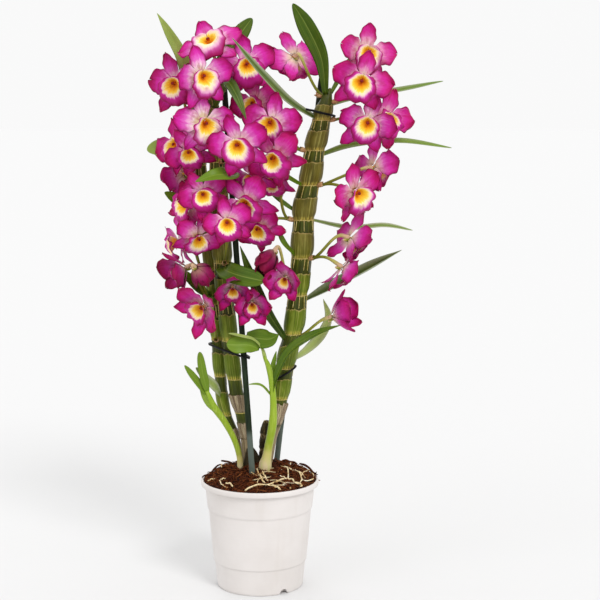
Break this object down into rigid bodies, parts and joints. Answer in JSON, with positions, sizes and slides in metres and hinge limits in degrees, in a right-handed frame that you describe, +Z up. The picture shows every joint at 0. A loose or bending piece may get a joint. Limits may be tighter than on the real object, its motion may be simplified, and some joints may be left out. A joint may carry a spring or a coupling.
{
  "type": "dendrobium orchid",
  "caption": "Potted dendrobium orchid: tall leafy canes tied to stakes, with clusters of open magenta flowers along them, in a stepped round nursery pot.",
  "frame": {"origin": "middle of the pot's flat base, on the surface that the pot stands on", "axes": "+Z up along the plant, -Y the front that the most flowers face, +X to the front viewer's right"},
  "size_m": [0.3094, 0.1255, 0.5886],
  "materials": {
    "pot": "satin off-white moulded plastic",
    "coir": "rough red-brown coir and bark",
    "root": "matt cream aerial root",
    "stake": "dull dark green stained cane",
    "tie": "black plastic-coated wire",
    "cane": "olive stem in dry papery sheaths",
    "stump": "old dark stem",
    "leaf": "satin mid-green leaf",
    "shoot": "satin bright green young growth",
    "bloom": "soft magenta petals, paler at the heart"
  },
  "bodies": {
    "root": {"pot": "pot", "substrate": "coir", "roots": "root", "stake_left": "stake", "stake_right": "stake", "tie_right_high": "tie", "tie_right_low": "tie", "tie_left_high": "tie", "tie_left_low": "tie", "cane_right": "cane", "cane_front": "cane", "cane_rear": "cane", "stump": "stump", "shoot_left": "shoot", "shoot_right": "shoot", "leaf_right_top": "leaf", "leaf_right_back": "leaf", "leaf_right_arching": "leaf", "leaf_right_high": "leaf", "leaf_right_upper": "leaf", "leaf_right_middle": "leaf", "leaf_right_folded": "leaf", "leaf_right_pale": "leaf", "leaf_right_short_1": "leaf", "leaf_right_short_2": "leaf", "leaf_right_short_3": "leaf", "leaf_right_strap": "leaf", "leaf_front_broad": "leaf", "leaf_front_top": "leaf", "leaf_front_hanging": "leaf", "leaf_front_level": "leaf", "leaf_rear_top": "leaf", "leaf_rear_round": "leaf", "leaf_rear_short": "leaf", "leaf_rear_folded": "leaf", "leaf_rear_low": "leaf", "spray_right_1": "bloom", "spray_right_2": "bloom", "spray_right_3": "bloom", "spray_right_4": "bloom", "spray_right_5": "bloom", "spray_right_6": "bloom", "spray_right_7": "bloom", "spray_right_8": "bloom", "spray_right_9": "bloom", "spray_front_1": "bloom", "spray_front_2": "bloom", "spray_front_3": "bloom", "spray_front_4": "bloom", "spray_front_5": "bloom", "spray_front_6": "bloom", "spray_front_7": "bloom", "spray_front_8": "bloom", "spray_rear_1": "bloom", "spray_rear_2": "bloom", "spray_rear_3": "bloom", "spray_rear_4": "bloom", "spray_rear_5": "bloom", "spray_rear_6": "bloom", "spray_rear_7": "bloom"}
  },
  "joints": []
}
